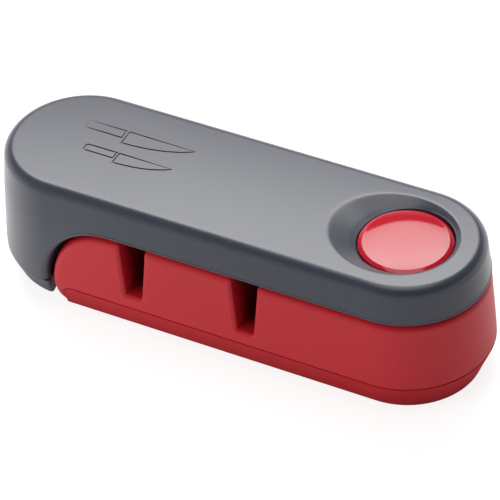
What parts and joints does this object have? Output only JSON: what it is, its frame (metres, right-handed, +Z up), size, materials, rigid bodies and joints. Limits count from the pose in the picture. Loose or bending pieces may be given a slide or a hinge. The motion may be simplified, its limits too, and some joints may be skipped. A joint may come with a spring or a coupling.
{
  "type": "folding knife sharpener",
  "caption": "Pocket knife sharpener: red base with V slots over ceramic wheels, under a grey handle that swings half a turn about a sprung lock button.",
  "frame": {"origin": "on the table plane, under the middle of the folded body's bounding box", "axes": "+X along the body towards the button and pivot end, -Y is the side towards the viewer, +Z up"},
  "size_m": [0.15, 0.049, 0.044],
  "materials": {
    "red_shell": "fine satin moulding texture",
    "red_cover": "fine satin moulding texture",
    "grey_shell": "fine satin moulding texture",
    "grey_liner": "plain moulding",
    "button_red": "polished",
    "pad": "ribbed",
    "frame_black": "plain moulding",
    "steel": "turned",
    "spring_steel": "drawn wire",
    "nylon": "plain moulding",
    "coarse_ceramic": "gritty",
    "fine_ceramic": "fine ground"
  },
  "bodies": {
    "base": {"base_housing": "red_shell", "base_cover": "red_cover", "non_slip_pad": "pad", "cover_screws": "steel", "coarse_wheel_frame": "frame_black", "fine_wheel_frame": "frame_black", "coarse_axle": "steel", "fine_axle": "steel", "coarse_wheel_washers": "nylon", "fine_wheel_washers": "nylon", "frame_screws": "steel", "thrust_washer": "nylon", "retaining_ring": "steel", "ring_screws": "steel", "button_spring": "spring_steel"},
    "handle": {"handle_shell": "grey_shell", "handle_liner": "grey_liner", "handle_foot": "grey_shell", "liner_screws": "steel", "foot_screws": "steel", "pivot_bush": "nylon", "latch_ring": "steel"},
    "button": {"button_cap": "button_red", "lock_plate": "frame_black"},
    "coarse_wheel_left": {"coarse_wheel_left": "coarse_ceramic"},
    "coarse_wheel_right": {"coarse_wheel_right": "coarse_ceramic"},
    "fine_wheel_left": {"fine_wheel_left": "fine_ceramic"},
    "fine_wheel_right": {"fine_wheel_right": "fine_ceramic"}
  },
  "joints": [
    {"name": "handle_swing", "type": "hinge", "parent": "base", "child": "handle", "pos_m": [0.0505, 0, 0.033], "axis": [0, 0, 1], "range_deg": [0, 180]},
    {"name": "button_press", "type": "slide", "parent": "base", "child": "button", "axis": [0, 0, -1], "range_m": [0, 0.0019], "stiffness_N_per_m": 900, "springref_m": -0.004, "deforming": ["button_spring"]},
    {"name": "coarse_wheel_left_spin", "type": "hinge", "parent": "base", "child": "coarse_wheel_left", "pos_m": [-0.023, 0, 0.0115], "axis": [1, 0, 0], "continuous": true},
    {"name": "coarse_wheel_right_spin", "type": "hinge", "parent": "base", "child": "coarse_wheel_right", "pos_m": [-0.023, 0, 0.0115], "axis": [1, 0, 0], "continuous": true},
    {"name": "fine_wheel_left_spin", "type": "hinge", "parent": "base", "child": "fine_wheel_left", "pos_m": [0.0122, 0, 0.0115], "axis": [1, 0, 0], "continuous": true},
    {"name": "fine_wheel_right_spin", "type": "hinge", "parent": "base", "child": "fine_wheel_right", "pos_m": [0.0122, 0, 0.0115], "axis": [1, 0, 0], "continuous": true}
  ]
}
